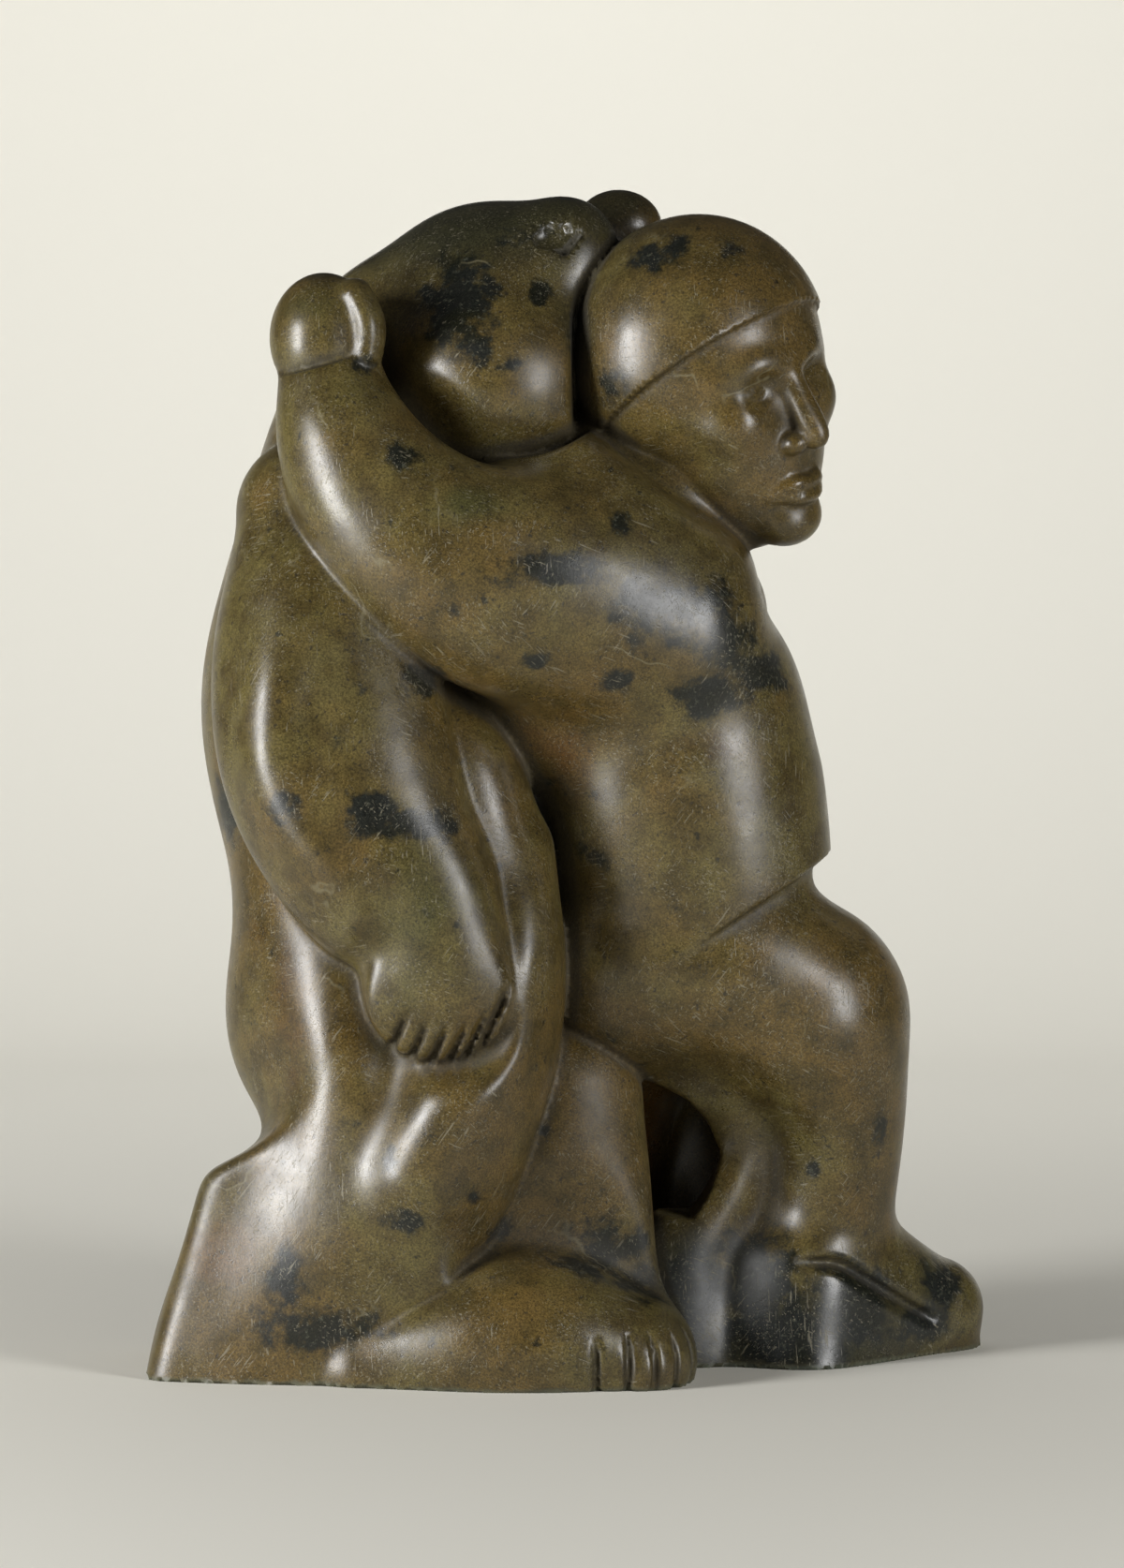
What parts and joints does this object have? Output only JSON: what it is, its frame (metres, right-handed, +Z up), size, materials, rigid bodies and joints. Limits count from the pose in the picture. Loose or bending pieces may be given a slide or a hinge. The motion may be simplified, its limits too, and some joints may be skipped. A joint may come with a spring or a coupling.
{
  "type": "carved stone figure group",
  "caption": "Carved soapstone group of a hooded hunter holding an upright bear, polished all over, standing on its feet as one solid stone.",
  "frame": {"origin": "middle of the footprint's box, on the surface the carving stands on", "axes": "+Z up; +X from the bear towards the hunter; -Y is the side with the hanging paw, the hunter's face and the mitten"},
  "size_m": [0.3224, 0.1752, 0.4514],
  "materials": {
    "soapstone": "polished"
  },
  "bodies": {
    "root": {"hunter_and_bear": "soapstone"}
  },
  "joints": []
}
